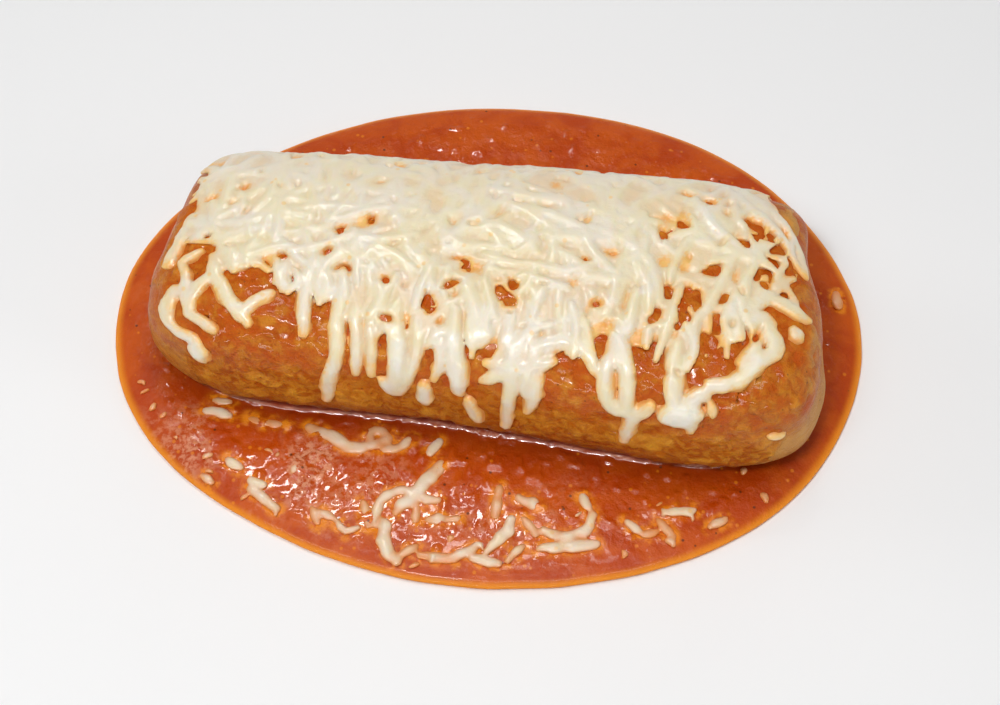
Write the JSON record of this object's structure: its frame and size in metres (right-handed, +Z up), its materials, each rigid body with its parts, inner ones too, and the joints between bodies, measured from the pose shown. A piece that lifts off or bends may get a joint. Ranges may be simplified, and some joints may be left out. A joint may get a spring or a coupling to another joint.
{
  "type": "smothered burrito",
  "caption": "Rolled flour tortilla burrito under a blanket of melted shredded cheese, lying in a shallow pool of red chilli sauce.",
  "frame": {"origin": "on the underside, under the middle of the sauce pool's outline", "axes": "+X along the roll towards its fuller end, +Y towards the back, away from the side with the longest cheese drips, +Z up"},
  "size_m": [0.254, 0.1916, 0.0612],
  "materials": {
    "tortilla": "baked flour tortilla soaked in red sauce, golden orange with yellow and brown mottling, softly glossy",
    "cheese": "melted shredded white cheese, cream with pale yellow patches, smooth and slightly translucent",
    "sauce": "smooth red-orange chilli sauce, wet and glossy, brighter orange where it thins out at its edge"
  },
  "bodies": {
    "root": {"tortilla_roll": "tortilla", "cheese_blanket": "cheese", "sauce_pool": "sauce"}
  },
  "joints": []
}
